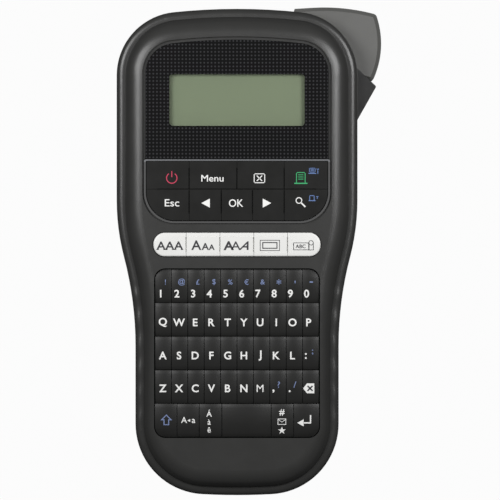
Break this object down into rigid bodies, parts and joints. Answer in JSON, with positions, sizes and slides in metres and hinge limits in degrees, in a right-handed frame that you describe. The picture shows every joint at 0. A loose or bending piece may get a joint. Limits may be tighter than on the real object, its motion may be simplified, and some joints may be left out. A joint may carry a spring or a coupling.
{
  "type": "label maker",
  "caption": "Handheld label maker with a display, control keys, quick keys, letter keypad, side cutter lever, tape cassette bay and cell bay.",
  "frame": {"origin": "middle of the flat face of the back cover, on the centre line, halfway along the body", "axes": "+Z out of the front, +Y towards the display end, +X to the right seen from the front"},
  "size_m": [0.1128, 0.208, 0.0572],
  "materials": {
    "case_plastic": "dark charcoal ABS, fine satin texture",
    "panel_gloss": "gloss black acrylic with a printed dot grid",
    "clear_lens": "clear window",
    "lcd_glass": "grey green liquid crystal display",
    "trim_silver": "silver paint on plastic",
    "key_rubber": "black silicone with pale legends",
    "quick_white": "white keys with dark legends",
    "board": "green solder mask",
    "silicone": "grey silicone contact mat",
    "lever_grey": "grey satin plastic",
    "steel": "plain steel",
    "white_plastic": "white acetal",
    "head_ceramic": "alumina strip with heating line",
    "aluminium": "stamped heat sink",
    "platen_rubber": "ground rubber roller",
    "cassette_shell": "light grey styrene",
    "tape_white": "white label tape",
    "ribbon_black": "thermal transfer ribbon",
    "socket_black": "black nylon socket",
    "cell_wrap": "plain wrapped cells"
  },
  "bodies": {
    "case": {"front_case": "case_plastic", "middle_case": "case_plastic", "display_panel": "panel_gloss", "lcd_lens": "clear_lens", "lcd_module": "lcd_glass", "key_trim": "trim_silver", "main_board": "board", "letter_mat": "silicone", "function_mat": "silicone", "case_screws": "steel", "power_socket": "socket_black", "lever_pin": "steel", "lever_spring": "steel", "print_head": "head_ceramic", "head_bracket": "aluminium", "motor": "steel", "cassette_tray": "cassette_shell", "cassette_lid": "cassette_shell", "tape_strip": "tape_white", "aaa_cells": "cell_wrap", "battery_contacts": "steel", "battery_springs": "steel"},
    "cover": {"back_cover": "case_plastic"},
    "lever": {"cutter_lever": "lever_grey"},
    "knife": {"blade_holder": "white_plastic", "blade": "steel"},
    "platen": {"platen_roller": "platen_rubber", "platen_shaft": "steel", "platen_gear": "white_plastic"},
    "rotor": {"motor_shaft": "steel", "motor_pinion": "white_plastic"},
    "takeup": {"takeup_gear": "white_plastic", "takeup_spool": "ribbon_black"},
    "supply": {"tape_roll": "tape_white"},
    "ribbon": {"ribbon_roll": "ribbon_black"},
    "key_power_body": {"key_power": "key_rubber"},
    "key_menu_body": {"key_menu": "key_rubber"},
    "key_clear_body": {"key_clear": "key_rubber"},
    "key_print_body": {"key_print": "key_rubber"},
    "key_escape_body": {"key_escape": "key_rubber"},
    "key_left_body": {"key_left": "key_rubber"},
    "key_ok_body": {"key_ok": "key_rubber"},
    "key_right_body": {"key_right": "key_rubber"},
    "key_preview_body": {"key_preview": "key_rubber"},
    "quick_font_body": {"quick_font": "quick_white"},
    "quick_size_body": {"quick_size": "quick_white"},
    "quick_style_body": {"quick_style": "quick_white"},
    "quick_frame_body": {"quick_frame": "quick_white"},
    "quick_roll_body": {"quick_roll": "quick_white"},
    "digit_keys_body": {"digit_keys": "key_rubber"},
    "upper_keys_body": {"upper_keys": "key_rubber"},
    "home_keys_body": {"home_keys": "key_rubber"},
    "lower_keys_body": {"lower_keys": "key_rubber"},
    "key_shift_body": {"key_shift": "key_rubber"},
    "key_caps_body": {"key_caps": "key_rubber"},
    "key_accent_body": {"key_accent": "key_rubber"},
    "key_space_body": {"key_space": "key_rubber"},
    "key_symbol_body": {"key_symbol": "key_rubber"},
    "key_enter_body": {"key_enter": "key_rubber"}
  },
  "joints": [
    {"name": "cover_hinge", "type": "hinge", "parent": "case", "child": "cover", "pos_m": [0, -0.1034, 0.006], "axis": [-1, 0, 0], "range_deg": [0, 60]},
    {"name": "lever_swing", "type": "hinge", "parent": "case", "child": "lever", "pos_m": [0.025, 0.0891, 0.034], "axis": [0, 0, -1], "range_deg": [0, 14], "stiffness_Nm_per_rad": 0.25, "springref_deg": -5.73},
    {"name": "knife_slide", "type": "slide", "parent": "case", "child": "knife", "axis": [0, -1, 0], "range_m": [0, 0.00405]},
    {"name": "takeup_spin", "type": "hinge", "parent": "case", "child": "takeup", "pos_m": [0.02173, 0.05032, 0.028], "axis": [0, 0, 1], "continuous": true},
    {"name": "platen_spin", "type": "hinge", "parent": "case", "child": "platen", "pos_m": [0.0385, 0.0579, 0.028], "axis": [0, 0, 1], "continuous": true},
    {"name": "rotor_spin", "type": "hinge", "parent": "case", "child": "rotor", "pos_m": [0.008, 0.06, 0.028], "axis": [0, 0, 1], "continuous": true},
    {"name": "supply_spin", "type": "hinge", "parent": "case", "child": "supply", "pos_m": [-0.02, 0.066, 0.013], "axis": [0, 0, 1], "continuous": true},
    {"name": "ribbon_spin", "type": "hinge", "parent": "case", "child": "ribbon", "pos_m": [0.008, 0.074, 0.013], "axis": [0, 0, 1], "continuous": true},
    {"name": "key_power_press", "type": "slide", "parent": "case", "child": "key_power_body", "axis": [0, 0, -1], "range_m": [0, 0.0009], "stiffness_N_per_m": 500, "springref_m": -0.0004},
    {"name": "key_menu_press", "type": "slide", "parent": "case", "child": "key_menu_body", "axis": [0, 0, -1], "range_m": [0, 0.0009], "stiffness_N_per_m": 500, "springref_m": -0.0004},
    {"name": "key_clear_press", "type": "slide", "parent": "case", "child": "key_clear_body", "axis": [0, 0, -1], "range_m": [0, 0.0009], "stiffness_N_per_m": 500, "springref_m": -0.0004},
    {"name": "key_print_press", "type": "slide", "parent": "case", "child": "key_print_body", "axis": [0, 0, -1], "range_m": [0, 0.0009], "stiffness_N_per_m": 500, "springref_m": -0.0004},
    {"name": "key_escape_press", "type": "slide", "parent": "case", "child": "key_escape_body", "axis": [0, 0, -1], "range_m": [0, 0.0009], "stiffness_N_per_m": 500, "springref_m": -0.0004},
    {"name": "key_left_press", "type": "slide", "parent": "case", "child": "key_left_body", "axis": [0, 0, -1], "range_m": [0, 0.0009], "stiffness_N_per_m": 500, "springref_m": -0.0004},
    {"name": "key_ok_press", "type": "slide", "parent": "case", "child": "key_ok_body", "axis": [0, 0, -1], "range_m": [0, 0.0009], "stiffness_N_per_m": 500, "springref_m": -0.0004},
    {"name": "key_right_press", "type": "slide", "parent": "case", "child": "key_right_body", "axis": [0, 0, -1], "range_m": [0, 0.0009], "stiffness_N_per_m": 500, "springref_m": -0.0004},
    {"name": "key_preview_press", "type": "slide", "parent": "case", "child": "key_preview_body", "axis": [0, 0, -1], "range_m": [0, 0.0009], "stiffness_N_per_m": 500, "springref_m": -0.0004},
    {"name": "quick_font_press", "type": "slide", "parent": "case", "child": "quick_font_body", "axis": [0, 0, -1], "range_m": [0, 0.0009], "stiffness_N_per_m": 500, "springref_m": -0.0004},
    {"name": "quick_size_press", "type": "slide", "parent": "case", "child": "quick_size_body", "axis": [0, 0, -1], "range_m": [0, 0.0009], "stiffness_N_per_m": 500, "springref_m": -0.0004},
    {"name": "quick_style_press", "type": "slide", "parent": "case", "child": "quick_style_body", "axis": [0, 0, -1], "range_m": [0, 0.0009], "stiffness_N_per_m": 500, "springref_m": -0.0004},
    {"name": "quick_frame_press", "type": "slide", "parent": "case", "child": "quick_frame_body", "axis": [0, 0, -1], "range_m": [0, 0.0009], "stiffness_N_per_m": 500, "springref_m": -0.0004},
    {"name": "quick_roll_press", "type": "slide", "parent": "case", "child": "quick_roll_body", "axis": [0, 0, -1], "range_m": [0, 0.0009], "stiffness_N_per_m": 500, "springref_m": -0.0004},
    {"name": "digit_keys_press", "type": "slide", "parent": "case", "child": "digit_keys_body", "axis": [0, 0, -1], "range_m": [0, 0.0009], "stiffness_N_per_m": 900, "springref_m": -0.0004},
    {"name": "upper_keys_press", "type": "slide", "parent": "case", "child": "upper_keys_body", "axis": [0, 0, -1], "range_m": [0, 0.0009], "stiffness_N_per_m": 900, "springref_m": -0.0004},
    {"name": "home_keys_press", "type": "slide", "parent": "case", "child": "home_keys_body", "axis": [0, 0, -1], "range_m": [0, 0.0009], "stiffness_N_per_m": 900, "springref_m": -0.0004},
    {"name": "lower_keys_press", "type": "slide", "parent": "case", "child": "lower_keys_body", "axis": [0, 0, -1], "range_m": [0, 0.0009], "stiffness_N_per_m": 900, "springref_m": -0.0004},
    {"name": "key_shift_press", "type": "slide", "parent": "case", "child": "key_shift_body", "axis": [0, 0, -1], "range_m": [0, 0.0009], "stiffness_N_per_m": 500, "springref_m": -0.0004},
    {"name": "key_caps_press", "type": "slide", "parent": "case", "child": "key_caps_body", "axis": [0, 0, -1], "range_m": [0, 0.0009], "stiffness_N_per_m": 500, "springref_m": -0.0004},
    {"name": "key_accent_press", "type": "slide", "parent": "case", "child": "key_accent_body", "axis": [0, 0, -1], "range_m": [0, 0.0009], "stiffness_N_per_m": 500, "springref_m": -0.0004},
    {"name": "key_space_press", "type": "slide", "parent": "case", "child": "key_space_body", "axis": [0, 0, -1], "range_m": [0, 0.0009], "stiffness_N_per_m": 500, "springref_m": -0.0004},
    {"name": "key_symbol_press", "type": "slide", "parent": "case", "child": "key_symbol_body", "axis": [0, 0, -1], "range_m": [0, 0.0009], "stiffness_N_per_m": 500, "springref_m": -0.0004},
    {"name": "key_enter_press", "type": "slide", "parent": "case", "child": "key_enter_body", "axis": [0, 0, -1], "range_m": [0, 0.0009], "stiffness_N_per_m": 500, "springref_m": -0.0004}
  ],
  "couplings": [
    {"joint": "knife_slide", "follows": "lever_swing", "m_per_rad": 0.016452},
    {"joint": "platen_spin", "follows": "takeup_spin", "ratio": -1.875},
    {"joint": "rotor_spin", "follows": "takeup_spin", "ratio": -2.5},
    {"joint": "supply_spin", "follows": "takeup_spin", "ratio": 0.42857},
    {"joint": "ribbon_spin", "follows": "takeup_spin", "ratio": 1}
  ]
}
